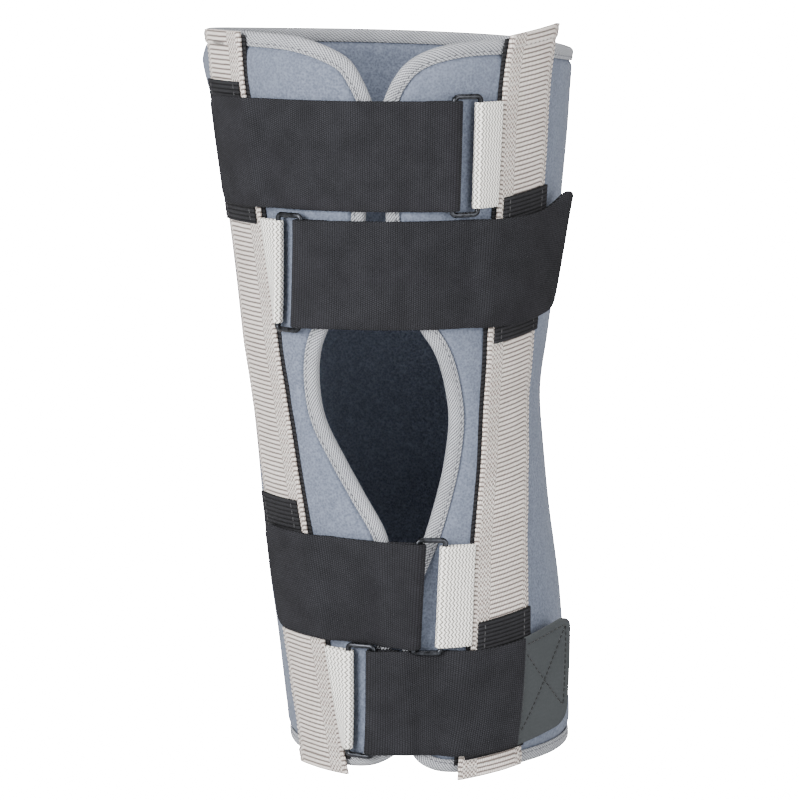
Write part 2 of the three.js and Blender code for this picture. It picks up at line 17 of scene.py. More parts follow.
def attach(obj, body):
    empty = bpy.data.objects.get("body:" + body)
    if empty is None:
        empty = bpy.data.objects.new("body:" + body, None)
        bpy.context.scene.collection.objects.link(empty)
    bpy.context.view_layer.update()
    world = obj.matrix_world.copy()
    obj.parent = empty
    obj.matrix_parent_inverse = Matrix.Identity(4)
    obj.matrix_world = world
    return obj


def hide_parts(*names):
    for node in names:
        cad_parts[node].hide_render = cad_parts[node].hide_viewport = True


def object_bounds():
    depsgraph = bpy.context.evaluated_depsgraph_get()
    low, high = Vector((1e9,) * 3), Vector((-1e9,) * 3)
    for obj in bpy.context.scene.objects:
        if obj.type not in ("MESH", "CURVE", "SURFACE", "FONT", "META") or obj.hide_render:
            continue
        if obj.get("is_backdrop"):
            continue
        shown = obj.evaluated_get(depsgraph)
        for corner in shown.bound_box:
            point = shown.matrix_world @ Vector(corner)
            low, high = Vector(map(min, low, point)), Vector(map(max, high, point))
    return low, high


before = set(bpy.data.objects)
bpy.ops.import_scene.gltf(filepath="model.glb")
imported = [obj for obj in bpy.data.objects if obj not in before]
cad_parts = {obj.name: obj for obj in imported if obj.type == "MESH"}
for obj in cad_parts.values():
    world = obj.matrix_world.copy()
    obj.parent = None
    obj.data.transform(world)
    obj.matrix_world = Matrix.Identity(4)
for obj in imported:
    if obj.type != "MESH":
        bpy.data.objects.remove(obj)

cad_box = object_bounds()
print("nodes", len(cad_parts), "box", cad_box)

# %% [markdown]
# ## Camera, floor and light
# A product of this kind is photographed with a long lens, a little from the right and from above,
# on white. The camera stands 1.6 m off with a 150 mm lens, which keeps the straps' edges nearly
# parallel as they are in the picture. A wide pale floor and large soft lights give white ground and
# soft shadows.

# %% Camera
azimuth = math.radians(6.5)
elevation = math.radians(9)
camera_distance = 1.6
towards_camera = Vector((
    math.sin(azimuth) * math.cos(elevation),
    -math.cos(azimuth) * math.cos(elevation),
    math.sin(elevation),
))
camera_right = Vector((math.cos(azimuth), math.sin(azimuth), 0))
camera_up = towards_camera.cross(camera_right)
look_at = Vector((0.00126, 0.001078, 0.172)) + 0.00264 * camera_right - 0.00432 * camera_up
camera = bpy.data.objects.new("camera", bpy.data.cameras.new("camera"))
bpy.context.scene.collection.objects.link(camera)
camera.data.lens = 150
camera.data.sensor_width = 36
camera.data.clip_end = 60
turned = Matrix((camera_right, camera_up, towards_camera)).transposed().to_4x4()
camera.matrix_world = Matrix.Translation(look_at + camera_distance * towards_camera) @ turned
bpy.context.scene.camera = camera
print("camera at", tuple(round(x, 3) for x in camera.matrix_world.translation))


# %% Small helpers for nodes
def add(tree, kind, inputs=None, **settings):
    """One shader node. inputs: socket name or number to a value or to another node's output."""
    node = tree.nodes.new("ShaderNode" + kind)
    for key, value in settings.items():
        setattr(node, key, value)
    for key, value in (inputs or {}).items():
        if isinstance(value, bpy.types.NodeSocket):
            tree.links.new(value, node.inputs[key])
        else:
            node.inputs[key].default_value = value
    return node


def calc(tree, operation, a, b=0.0, c=0.0):
    return add(tree, "Math", {0: a, 1: b, 2: c}, operation=operation).outputs[0]


# %% Floor and lights
def srgb(hexed):
    """A colour as a screen shows it, turned into the linear one that the shader wants."""
    parts = [int(hexed[k:k + 2], 16) / 255 for k in (0, 2, 4)]
    return tuple(c / 12.92 if c <= 0.04045 else ((c + 0.055) / 1.055) ** 2.4 for c in parts) + (1.0,)


def soft_light(name, spot, aim, size, power):
    """A square area light at a spot, facing another."""
    lamp = bpy.data.lights.new(name, "AREA")
    lamp.size = size
    lamp.energy = power
    light = bpy.data.objects.new(name, lamp)
    facing = (Vector(aim) - Vector(spot)).to_track_quat("-Z", "Y").to_matrix().to_4x4()
    light.matrix_world = Matrix.Translation(spot) @ facing
    bpy.context.scene.collection.objects.link(light)


floor_size = 30
floor_mesh = bmesh.new()
bmesh.ops.create_grid(floor_mesh, x_segments=1, y_segments=1, size=floor_size)
floor = bpy.data.objects.new("floor", bpy.data.meshes.new("floor"))
floor_mesh.to_mesh(floor.data)
floor_mesh.free()
bpy.context.scene.collection.objects.link(floor)
floor_paint = bpy.data.materials.new("pale_floor")
floor_paint.use_nodes = True
floor_shader = floor_paint.node_tree.nodes["Principled BSDF"]
floor_shader.inputs["Base Color"].default_value = (0.7, 0.7, 0.7, 1)
floor_shader.inputs["Roughness"].default_value = 0.9
seen = add(floor_paint.node_tree, "LightPath").outputs["Is Camera Ray"]
floor_shader.inputs["Emission Color"].default_value = (1, 1, 1, 1)
floor_glow = calc(floor_paint.node_tree, "MULTIPLY", seen, 30.0)
floor_paint.node_tree.links.new(floor_glow, floor_shader.inputs["Emission Strength"])
floor.data.materials.append(floor_paint)
floor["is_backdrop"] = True

wrap_middle = (0, 0, 0.18)
soft_light("key", (-0.9, -1.5, 0.7), wrap_middle, 0.8, 70)
soft_light("fill", (1.3, -1.2, 0.45), wrap_middle, 1.2, 34)
soft_light("top", (0.1, -0.1, 1.8), wrap_middle, 1.0, 16)
world = bpy.data.worlds.new("studio")
world.use_nodes = True
world.node_tree.nodes["Background"].inputs["Color"].default_value = (1, 1, 1, 1)
world.node_tree.nodes["Background"].inputs["Strength"].default_value = 0.65
bpy.context.scene.world = world

# %% [markdown]
# ## The form that everything lies on
# The wrap is a leaning tube, wide at the top and narrower below, and every piece is placed on it by
# three numbers: how far round from the front line, how high, and how far out from the foam's face.
# One table of sections gives the wrap's width, depth and lean at each height, as shares of a few
# named sizes, and a smooth curve runs between its rows.

# %% Sizes and the wrap's table
MM = 0.001
height = 350
top_width = 177.2
top_depth = 184
hem_shift = 19.8
middle_forward = 5
twist_at_hem = math.radians(-4.2)
twist_at_top = math.radians(3.7)
box_shift = Vector((-0.7400, 1.0784, 0))

wrap_sections = {
    "at": [0, .074, .211, .269, .349, .429, .503, .577, .657, .749, .857, .931, 1],
    "width": [.764, .773, .783, .781, .777, .774, .781, .822, .856, .892, .937, .971, 1],
    "depth": [.754, .772, .793, .793, .793, .804, .821, .848, .891, .935, .967, .989, 1],
    "lean": [1, .918, .656, .535, .394, .272, .172, .151, .161, .121, .06, .01, 0],
    "forward": [.36, .2, 0, .2, .6, .8, 1, 1, .8, .4, .2, 0, 0],
}


def clamp(x, low=0.0, high=1.0):
    return max(low, min(high, x))


def lerp(a, b, t):
    return a + (b - a) * t


def smooth(t):
    """0 to 1 with soft ends."""
    t = clamp(t)
    return t * t * (3 - 2 * t)


def read_table(table, column, at):
    """Smooth value of one column, by the slopes between its rows."""
    places, values = table["at"], table[column]
    last = len(places) - 1
    k = 0
    while k < last - 1 and at > places[k + 1]:
        k += 1

    def slope(i):
        before, after = max(i - 1, 0), min(i + 1, last)
        return (values[after] - values[before]) / (places[after] - places[before])

    span = places[k + 1] - places[k]
    t = clamp((at - places[k]) / span)
    rise = values[k + 1] - values[k]
    start_bend = slope(k) * span - rise
    end_bend = rise - slope(k + 1) * span
    return values[k] + t * rise + t * (1 - t) * ((1 - t) * start_bend + t * end_bend)


# %% Points on the wrap
steps_per_mm = 2


def wrap_row(z):
    at = z / height
    half_width = read_table(wrap_sections, "width", at) * top_width / 2
    half_depth = read_table(wrap_sections, "depth", at) * top_depth / 2
    x = read_table(wrap_sections, "lean", at) * hem_shift
    y = -read_table(wrap_sections, "forward", at) * middle_forward
    return half_width, half_depth, x, y


wrap_rows = [wrap_row(k / steps_per_mm) for k in range(height * steps_per_mm + 2)]


def wrap_at(z):
    """Half width, half depth and centre of the wrap at a height, from the worked-out rows."""
    place = clamp(z, 0, height) * steps_per_mm
    k = int(place)
    low, high = wrap_rows[k], wrap_rows[k + 1]
    return [lerp(a, b, place - k) for a, b in zip(low, high)]


def girth_radius(z):
    half_width, half_depth, x, y = wrap_at(z)
    return (half_width + half_depth) / 2


def at_angle(angle, z, out):
    """A point at an angle round from the front line, at a height, out from the foam's face."""
    half_width, half_depth, x, y = wrap_at(z)
    turned = angle + lerp(twist_at_hem, twist_at_top, z / height)
    spot = Vector((x + (half_width + out) * math.sin(turned), y - (half_depth + out) * math.cos(turned), z))
    return (spot + box_shift) * MM


def on_wrap(across, z, out):
    """The same, with the distance round the wrap in millimetres, positive to the right."""
    return at_angle(across / girth_radius(z), z, out)


print("top", [round(v, 1) for v in wrap_at(340)], "near the hem", [round(v, 1) for v in wrap_at(60)])

# %% [markdown]
# ## Shader groups: weave, nap and thread
# Four of the finishes are woven, and they differ only in pitch and slant: rows of ribs, each crossed
# by threads, shifted by half a thread from row to row. One node group makes that weave from the
# piece's own map, which is in millimetres, so one set of nodes serves strips, straps, keepers,
# hook patches and tape. A second group gives soft mottling, and a third the short loops of the foam's
# face. Groups put out only masks and heights; the colours and the shader stay in each material.


# %% More helpers for nodes
def soft_step(tree, value, low, high):
    """0 below low, 1 above high, smooth between."""
    given = {"Value": value, "From Min": low, "From Max": high}
    return add(tree, "MapRange", given, interpolation_type="SMOOTHSTEP").outputs["Result"]


def new_group(name, inputs, outputs):
    """A node group with named sockets; returns its tree, its inputs' sockets and its output node."""
    tree = bpy.data.node_groups.new(name, "ShaderNodeTree")
    for socket, value in inputs.items():
        kind = "NodeSocketVector" if value is None else "NodeSocketFloat"
        made = tree.interface.new_socket(socket, in_out="INPUT", socket_type=kind)
        if value is not None:
            made.default_value = value
    for socket in outputs:
        tree.interface.new_socket(socket, in_out="OUTPUT", socket_type="NodeSocketFloat")
    return tree, tree.nodes.new("NodeGroupInput").outputs, tree.nodes.new("NodeGroupOutput").inputs


# %% Weave group
weave_group, given, result = new_group(
    "rows of woven ribs",
    {
        "Map": None, "Rib": 2.15, "Thread": 0.9, "Chevron": 0.0, "Chevron width": 4.0,
        "Uneven": 0.1, "Gap width": 0.82,
    },
    ["Height", "Gap", "Thread mask"],
)
tree = weave_group
split = add(tree, "SeparateXYZ", {0: given["Map"]})
across, along = split.outputs["X"], split.outputs["Y"]
drift = add(tree, "TexNoise", {"Vector": given["Map"], "Scale": 0.22, "Detail": 3.0}).outputs["Fac"]
drift = calc(tree, "MULTIPLY", calc(tree, "SUBTRACT", drift, 0.5), given["Uneven"])
zigzag = calc(tree, "PINGPONG", across, given["Chevron width"])
slanted = calc(tree, "ADD", along, calc(tree, "MULTIPLY", zigzag, given["Chevron"]))
phase = calc(tree, "ADD", calc(tree, "DIVIDE", slanted, given["Rib"]), drift)
rib = calc(tree, "ABSOLUTE", calc(tree, "SINE", calc(tree, "MULTIPLY", phase, math.pi)))
row = calc(tree, "FLOOR", phase)
half_row = calc(tree, "MULTIPLY", row, 0.5)
thread_place = calc(tree, "ADD", calc(tree, "DIVIDE", across, given["Thread"]), half_row)
thread_wave = calc(tree, "ABSOLUTE", calc(tree, "SINE", calc(tree, "MULTIPLY", thread_place, math.pi)))
thread_height = calc(tree, "MULTIPLY_ADD", thread_wave, 0.4, 0.6)
height_out = calc(tree, "MULTIPLY", calc(tree, "POWER", rib, 0.7), thread_height)
tree.links.new(height_out, result["Height"])
tree.links.new(calc(tree, "SUBTRACT", 1.0, soft_step(tree, rib, 0.2, given["Gap width"])), result["Gap"])
tree.links.new(soft_step(tree, thread_wave, 0.15, 0.7), result["Thread mask"])
print("group", weave_group.name, len(weave_group.nodes), "nodes")

# %% Mottle group and pile group
mottle_group, given, result = new_group("soft mottle", {"Place": None, "Size": 60.0}, ["Shade"])
tree = mottle_group
large = add(tree, "TexNoise", {"Vector": given["Place"], "Scale": given["Size"], "Detail": 4.0})
tree.links.new(soft_step(tree, large.outputs["Fac"], 0.3, 0.7), result["Shade"])

pile_group, given, result = new_group("brushed loops", {"Place": None, "Loops": 900.0}, ["Height", "Shade"])
tree = pile_group
loops = {"Vector": given["Place"], "Scale": given["Loops"]}
fibres = add(tree, "TexNoise", {**loops, "Detail": 3.0, "Roughness": 0.65})
tufts = add(tree, "TexVoronoi", loops)
patchy = add(tree, "TexNoise", {"Vector": given["Place"], "Scale": 170.0, "Detail": 4.0})
fibre_part = calc(tree, "MULTIPLY", fibres.outputs["Fac"], 0.7)
both = calc(tree, "ADD", fibre_part, calc(tree, "MULTIPLY", tufts.outputs["Distance"], 0.4))
tree.links.new(both, result["Height"])
patchy_part = calc(tree, "MULTIPLY", patchy.outputs["Fac"], 0.22)
shade = calc(tree, "ADD", calc(tree, "MULTIPLY", both, 0.85), patchy_part)
tree.links.new(soft_step(tree, shade, 0.35, 0.85), result["Shade"])
print("groups", [g.name for g in bpy.data.node_groups])

# %% [markdown]
# ## Finishes
# The foam's face is blue-grey brushed loop, the tape light grey twill, the strips ribbed webbing with
# brownish gaps between cream ribs, the keepers bright ivory herringbone, the patches black hook tape,
# and the straps charcoal elastic whose fine ribs run across. Each material starts from the same
# three or four nodes and then gets its own colours, so their values can be read side by side.


# %% A finish to start from
def new_finish(name, roughness, sheen=0.0, metallic=0.0):
    """A material and its shader, with the numbers that are the same all over the surface."""
    finish = bpy.data.materials.new(name)
    finish.use_nodes = True
    shader = finish.node_tree.nodes["Principled BSDF"]
    shader.inputs["Roughness"].default_value = roughness
    shader.inputs["Metallic"].default_value = metallic
    shader.inputs["Sheen Weight"].default_value = sheen
    shader.inputs["Sheen Roughness"].default_value = 0.5
    shader.inputs["Specular IOR Level"].default_value = 0.15
    return finish, finish.node_tree, shader


def mixed(tree, factor, low, high):
    """A colour between two, by a mask."""
    node = add(tree, "Mix", {"Factor": factor}, data_type="RGBA")
    for number, value in ((6, low), (7, high)):
        if isinstance(value, bpy.types.NodeSocket):
            tree.links.new(value, node.inputs[number])
        else:
            node.inputs[number].default_value = value
    return node.outputs[2]


def raised(tree, shader, value, depth, strength=1.0):
    """Feeds a height to the shader's normal; depth in metres."""
    bump = add(tree, "Bump", {"Height": value, "Distance": depth, "Strength": strength})
    tree.links.new(bump.outputs["Normal"], shader.inputs["Normal"])


def use_group(tree, group, inputs):
    node = add(tree, "Group", node_tree=group)
    for key, value in inputs.items():
        if isinstance(value, bpy.types.NodeSocket):
            tree.links.new(value, node.inputs[key])
        else:
            node.inputs[key].default_value = value
    return node.outputs


def object_place(tree):
    return add(tree, "TexCoord").outputs["Object"]


def own_map(tree):
    return add(tree, "UVMap", uv_map="weave").outputs["UV"]


# %% Foam and plain finishes
foam, tree, shader = new_finish("brushed_foam_cloth", 0.95, sheen=0.1)
pile = use_group(tree, pile_group, {"Place": object_place(tree)})
mottle = use_group(tree, mottle_group, {"Place": object_place(tree), "Size": 22.0})
base = mixed(tree, pile["Shade"], srgb("505664"), srgb("6c7382"))
mottled = mixed(tree, calc(tree, "MULTIPLY", mottle["Shade"], 0.2), base, srgb("545c69"))
tree.links.new(mottled, shader.inputs["Base Color"])
raised(tree, shader, pile["Height"], 0.0006, 0.7)

wire_metal, tree, shader = new_finish("dark_wire", 0.32, metallic=0.85)
shader.inputs["Specular IOR Level"].default_value = 0.5
worn = use_group(tree, mottle_group, {"Place": object_place(tree), "Size": 400.0})
tree.links.new(mixed(tree, worn["Shade"], srgb("1d1e21"), srgb("3a3c41")), shader.inputs["Base Color"])
tree.links.new(calc(tree, "MULTIPLY_ADD", worn["Shade"], 0.15, 0.25), shader.inputs["Roughness"])


def thread_finish(name, dark, light):
    finish, tree, shader = new_finish(name, 0.7, sheen=0.2)
    given = {"Vector": object_place(tree), "Scale": 700.0, "Distortion": 1.0}
    twist = add(tree, "TexWave", given, bands_direction="DIAGONAL")
    tree.links.new(mixed(tree, twist.outputs["Fac"], dark, light), shader.inputs["Base Color"])
    raised(tree, shader, twist.outputs["Fac"], 0.0001, 0.5)
    return finish


grey_thread = thread_finish("grey_thread", srgb("3a3b40"), srgb("5c5d62"))
pale_thread = thread_finish("pale_thread", srgb("a9a6a2"), srgb("d8d5d0"))
dark_thread = thread_finish("dark_thread", srgb("020203"), srgb("0c0c0e"))
patch_thread = thread_finish("patch_thread", srgb("2a2a2c"), srgb("454547"))
print("finishes", [m.name for m in bpy.data.materials])


# %% Woven finishes
def woven_finish(
    name, roughness, gap, low, high, depth, weave,
    sheen=0.1, gap_share=0.8, mottle_share=0.3, mottle_size=60.0,
):
    """Ribs and threads from the weave group, with darker gaps and soft mottling."""
    finish, tree, shader = new_finish(name, roughness, sheen)
    cloth = use_group(tree, weave_group, {"Map": own_map(tree), **weave})
    mottle = use_group(tree, mottle_group, {"Place": object_place(tree), "Size": mottle_size})
    fibre = use_group(tree, mottle_group, {"Place": object_place(tree), "Size": 1500.0})
    ribs = mixed(tree, cloth["Thread mask"], low, high)
    ribs = mixed(tree, calc(tree, "MULTIPLY", mottle["Shade"], mottle_share), ribs, low)
    colour = mixed(tree, calc(tree, "MULTIPLY", cloth["Gap"], gap_share), ribs, gap)
    tree.links.new(colour, shader.inputs["Base Color"])
    raised(tree, shader, calc(tree, "MULTIPLY_ADD", fibre["Shade"], 0.15, cloth["Height"]), depth)
    return finish, tree, shader, cloth, colour


tape, *_ = woven_finish(
    "binding_twill", 0.85, srgb("26262b"), srgb("787a80"), srgb("b7b9be"), 0.0005,
    {"Rib": 1.7, "Thread": 0.8, "Chevron": 1.1, "Chevron width": 40.0, "Uneven": 0.3}, gap_share=0.75,
)
keeper_cloth, *_ = woven_finish(
    "ivory_herringbone", 0.8, srgb("4c463c"), srgb("ebe8e0"), srgb("fffdf8"), 0.0005,
    {"Rib": 1.75, "Thread": 1.0, "Chevron": 0.85, "Chevron width": 1.25, "Uneven": 0.12, "Gap width": 0.82},
    gap_share=0.9, mottle_share=0.1,
)
hook_cloth, *_ = woven_finish(
    "black_hook", 0.8, srgb("070708"), srgb("121214"), srgb("29292c"), 0.0004,
    {"Rib": 2.0, "Thread": 0.45, "Uneven": 0.1}, sheen=0.0, gap_share=0.8,
)
strap_cloth, *_ = woven_finish(
    "charcoal_strap", 0.9, srgb("060607"), srgb("0c0c0e"), srgb("29292d"), 0.0003,
    {"Rib": 1.05, "Thread": 0.9, "Uneven": 0.3},
    sheen=0.0, gap_share=0.45, mottle_share=0.35, mottle_size=90.0,
)
tab_cloth, *_ = woven_finish(
    "smooth_tab", 0.75, srgb("272a2b"), srgb("2d3031"), srgb("373a3c"), 0.00005,
    {"Rib": 0.6, "Thread": 0.6, "Uneven": 0.4}, sheen=0.05, gap_share=0.4, mottle_size=80.0,
)
print("woven finishes done")

# %% Strip webbing
# Near its inner edge, and again at the outer one, the ribs break into narrow zigzag columns. The
# left strip's folded top end stands off in a small pucker; the shadow under it is painted into the
# webbing's colour.
stay_width = 32
webbing_rib = 2.15
zigzag_bands = [(1.4, 8.6), (28.2, 30.6)]
pucker_past = 16
pucker_height = 341
pucker_reach = 6.5
pucker_shadow_rise = 1.3
webbing, tree, shader, cloth, colour = woven_finish(
    "grey_webbing", 0.8, srgb("493a34"), srgb("a3958d"), srgb("ebe4dd"), 0.0007,
    {"Rib": webbing_rib, "Thread": 0.9, "Chevron width": 0.9, "Uneven": 0.12, "Gap width": 0.92},
    gap_share=0.85, mottle_share=0.2,
)
place = add(tree, "SeparateXYZ", {0: own_map(tree)}).outputs
zigzag = 0.0
for low, high in zigzag_bands:
    past_low = soft_step(tree, place["X"], low - 0.3, low + 0.3)
    past_high = soft_step(tree, place["X"], high - 0.3, high + 0.3)
    zigzag = calc(tree, "ADD", calc(tree, "SUBTRACT", past_low, past_high), zigzag)
tree.links.new(calc(tree, "MULTIPLY", zigzag, 1.9), cloth["Height"].node.inputs["Chevron"])
# Painted shadow: the webbing's colour darkens towards dark brown in an oval round the left strip's puckered
# fold, standing in for the shade under it.
aside = calc(tree, "DIVIDE", calc(tree, "SUBTRACT", place["X"], pucker_past), pucker_reach)
above = calc(tree, "DIVIDE", calc(tree, "SUBTRACT", place["Y"], pucker_height), pucker_shadow_rise)
squares = calc(tree, "MULTIPLY_ADD", aside, aside, calc(tree, "MULTIPLY", above, above))
shadow = calc(tree, "SUBTRACT", 1.0, soft_step(tree, squares, 0.3, 1.2))
colour = mixed(tree, calc(tree, "MULTIPLY", shadow, 0.75), colour, srgb("3f3b3a"))
tree.links.new(colour, shader.inputs["Base Color"])
print("webbing", len(tree.nodes), "nodes")

# %% [markdown]
# ## Making cloth from a grid
# Every woven piece starts as a flat grid of faces, like cloth on the cutting table. Its map is written
# while it is still flat, so the weave knows where it is, and then each point moves to its place on the
# wrap. A band's grid is also rolled round its own section, so that it closes into a solid tape with
# rounded edges, and its two ends are filled.


# %% Grid to piece
def finish_piece(bm, name, material, nodes=()):
    """Turns a bmesh into a piece that rides on the body and stands for CAD nodes."""
    bmesh.ops.recalc_face_normals(bm, faces=bm.faces[:])
    mesh = bpy.data.meshes.new(name)
    bm.to_mesh(mesh)
    bm.free()
    for polygon in mesh.polygons:
        polygon.use_smooth = True
    mesh.materials.append(material)
    piece = bpy.data.objects.new(name, mesh)
    bpy.context.scene.collection.objects.link(piece)
    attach(piece, "root")
    if nodes:
        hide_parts(*nodes)
    return piece


def mapped_grid(columns, rows, map_spot, kept=()):
    """A flat grid with its map in millimetres; returns the bmesh and each point's column and row.
    kept names the numbers that each point will carry."""
    bm = bmesh.new()
    for name in kept:
        bm.verts.layers.float.new(name)
    bmesh.ops.create_grid(bm, x_segments=columns, y_segments=rows, size=1)
    layer = bm.loops.layers.uv.new("weave")
    spots = {v: (round((v.co.x + 1) / 2 * columns), round((v.co.y + 1) / 2 * rows)) for v in bm.verts}
    for face in bm.faces:
        for loop in face.loops:
            loop[layer].uv = map_spot(*spots[loop.vert])
    return bm, spots


def close_solid(bm, weld=1e-6):
    """Welds the grid's seam and fills the ends that are still open."""
    bmesh.ops.remove_doubles(bm, verts=bm.verts[:], dist=weld)
    open_edges = [e for e in bm.edges if e.is_boundary]
    if open_edges:
        bmesh.ops.holes_fill(bm, edges=open_edges, sides=0)


def band_section(columns, rounding):
    """Across a band, all the way round: pairs of across (-0.5 to 0.5) and level (-0.5 to 0.5)."""
    inner = 0.5 - rounding
    over = [(lerp(-inner, inner, k / columns), 0.5) for k in range(columns + 1)]
    under = [(share, -0.5) for share, level in reversed(over)]
    return over + [(0.5 - rounding * 0.2, 0.28), (0.5 - rounding * 0.2, -0.28)] + under + [
        (-0.5 + rounding * 0.2, -0.28), (-0.5 + rounding * 0.2, 0.28)]


def band(rows, columns, width, along_at, point, rounding=0.012):
    """A closed tape. along_at(row): map distance; point(row, share, level): its place in metres."""
    section = band_section(columns, rounding)
    count = len(section)

    def map_spot(i, j):
        share, level = section[i % count]
        return ((share + 0.5) * width, along_at(j))

    bm, spots = mapped_grid(count, rows, map_spot)
    for v, (i, j) in spots.items():
        share, level = section[i % count]
        v.co = point(j, share, level)
    close_solid(bm)
    return bm


print("grid helpers ready")

# %% [markdown]
# ## The edge of the wrap
# The wrap is one piece of foam: its outline runs round the hem, up one flap past the keyhole, round
# the top and down the other flap. The same outline carries the binding, so it is worked out once, as
# a closed walk of points on the wrap, from short tables of the real edges.

# %% Outline tables
opening_width = 68
notch_depth = 29.5
hem_rise = 13
top_clearance = 3.5
flap_edges = {
    "at": [.037, .14, .24, .286, .329, .389, .431, .489, .537, .577, .609, .669, .72, .76, .834, .906],
    "left": [.047, .044, .022, -.012, -.009, .147, .272, .429, .463, .441, .371, .206, .11, .09, .059, .04],
    "right": [.047, .038, .074, .169, .282, .409, .482, .543, .503, .419, .301, .14, .068, .053, .044, .04],
}
hem_edge = {
    "at": [2.7, 3.6, 6.4, 12.9, 23, 38, 63, 93, 125, 150],
    "left": [1, .84, .66, .38, .22, .2, .24, .2, .04, 0],
    "right": [1, .82, .54, .27, .18, .2, .24, .2, .04, 0],
}
top_edge = {
    "at": [1.8, 4.6, 8.8, 15, 26, 42, 60, 93, 140],
    "left": [1, .7, .39, .21, .05, 0, 0, .04, .14],
    "right": [1, .7, .43, .25, .13, .11, .19, .33, .26],
}


# %% Curve through an edge's rows
def through(rows, samples=40):
    """A centripetal curve through flat points, as a close polyline."""
    ends = [rows[0] * 2 - rows[1]] + rows + [rows[-1] * 2 - rows[-2]]
    line = []
    for k in range(1, len(ends) - 2):
        a, b, c, d = ends[k - 1:k + 3]
        ab, bc, cd = (max((q - p).length ** 0.5, 1e-6) for p, q in ((a, b), (b, c), (c, d)))
        start = ((b - a) / ab - (c - a) / (ab + bc) + (c - b) / bc) * bc
        end = ((c - b) / bc - (d - b) / (bc + cd) + (d - c) / cd) * bc
        square = 3 * (c - b) - 2 * start - end
        cube = 2 * (b - c) + start + end
        for n in range(samples):
            t = n / samples
            line.append(b + start * t + square * t ** 2 + cube * t ** 3)
    return line + [rows[-1]]


def spaced(line, cuts, crowding):
    """Points along a polyline, closer together towards its ends, each with its share of the way."""
    lengths = [0.0]
    for a, b in zip(line, line[1:]):
        lengths.append(lengths[-1] + (b - a).length)
    spots, k = [], 0
    for i in range(cuts + 1):
        t = i / cuts
        share = t - crowding * math.sin(2 * math.pi * t) / (2 * math.pi)
        goal = share * lengths[-1]
        while k < len(line) - 2 and lengths[k + 1] < goal:
            k += 1
        local = clamp((goal - lengths[k]) / max(lengths[k + 1] - lengths[k], 1e-9))
        spots.append((line[k].lerp(line[k + 1], local), share))
    return spots


# %% The closed walk
full_turn = 2 * math.pi
spread = girth_radius(height / 2)
top_hem = height - top_clearance


def edge_round(table, height_of):
    left = [Vector((-math.radians(a) * spread, height_of(s))) for a, s in zip(table["at"], table["left"])]
    right = [
        Vector(((math.radians(a) - full_turn) * spread, height_of(s)))
        for a, s in zip(table["at"], table["right"])
    ]
    return left + right[::-1]


def flap_edge(side, start, stop):
    rows = []
    for at, share in list(zip(flap_edges["at"], flap_edges["left" if side < 0 else "right"]))[1:-1]:
        angle = side * share * opening_width / girth_radius(at * height)
        rows.append(Vector(((angle - full_turn if side > 0 else angle) * spread, at * height)))
    return [start] + rows + [stop]


hem_rows = edge_round(hem_edge, lambda share: share * hem_rise)
top_rows = edge_round(top_edge, lambda share: top_hem - share * notch_depth)
cuts_around = 250
cuts_up = 150
crowd_around = 0.7
crowd_up = 0.5
hem_points = spaced(through(hem_rows), cuts_around, crowd_around)
top_points = spaced(through(top_rows), cuts_around, crowd_around)
left_points = spaced(through(flap_edge(-1, hem_rows[0], top_rows[0])), cuts_up, crowd_up)
right_points = spaced(through(flap_edge(1, hem_rows[-1], top_rows[-1])), cuts_up, crowd_up)


def even_walk(step):
    """The whole edge as one closed walk of evenly spaced flat points."""
    whole = through(hem_rows) + through(flap_edge(1, hem_rows[-1], top_rows[-1]))[1:]
    whole += through(top_rows)[::-1][1:] + through(flap_edge(-1, hem_rows[0], top_rows[0]))[::-1][1:]
    total = sum((b - a).length for a, b in zip(whole, whole[1:]))
    even = spaced(whole, round(total / step), 0)[:-1]
    return [Vector((spot.x, max(spot.y, 0))) for spot, share in even], total


def in_from_edge(walk, index, distance):
    """A point of the walk moved in from the edge, square to it: angle and height."""
    before, here, after = walk[index - 1], walk[index], walk[(index + 1) % len(walk)]
    radius = girth_radius(here.y)
    way = Vector(((after.x - before.x) / spread * radius, after.y - before.y)).normalized()
    return here.x / spread + way.y * distance / radius, here.y - way.x * distance


edge_walk, edge_length = even_walk(1.3)
print("edge", round(edge_length), "mm,", len(edge_walk), "points")

# %% [markdown]
# ## The foam wrap
# The real wrap is laminated foam about 7 mm thick with a brushed loop face. Where the tape is sewn
# round its edge it is pinched to half that, and just inside the tape it swells up again, which gives
# the soft roll beside the tape. It could be a plain shell with a thickness, but then the roll would be
# missing, so the thickness is worked out at each point from its distance to the edge. The straps press
# it in a little and it bulges between them.

# %% How the foam stands
foam_thickness = 7
pinched_thickness = 3.4
tape_thickness = 1
tape_reach = 6.6
clearance = 0.3
layer_gap = 0.45
pinch_depth = (foam_thickness - pinched_thickness) / 2
pinch_end = tape_reach + layer_gap
sleeve_edge = tape_thickness + clearance

edge_tree = KDTree(len(edge_walk))
for k, spot in enumerate(edge_walk):
    edge_tree.insert(at_angle(spot.x / spread, spot.y, 0), k)
edge_tree.balance()
strap_heights = [(292, 25), (238, 25), (89, 25), (37, 25)]
bulge_rise = 2.1
bulge_below_top = 21
bulge_half_height = 14
bulge_angle = math.radians(-86)
bulge_spread = math.radians(13)


def roll(distance):
    """How far the face stands above its pinched level, 0 to 1, by the distance from the edge."""
    t = clamp((distance - pinch_end) / 5.5)
    return math.sqrt(1 - (1 - t) ** 2)


def pressed(angle, z):
    """Under the straps the foam gives way, and beside them it stands up."""
    front = smooth((math.radians(75) - abs(angle)) / math.radians(30))
    under = max(smooth(1.6 - abs(z - middle) / half) for middle, half in strap_heights)
    return front * (0.55 - 0.75 * under)


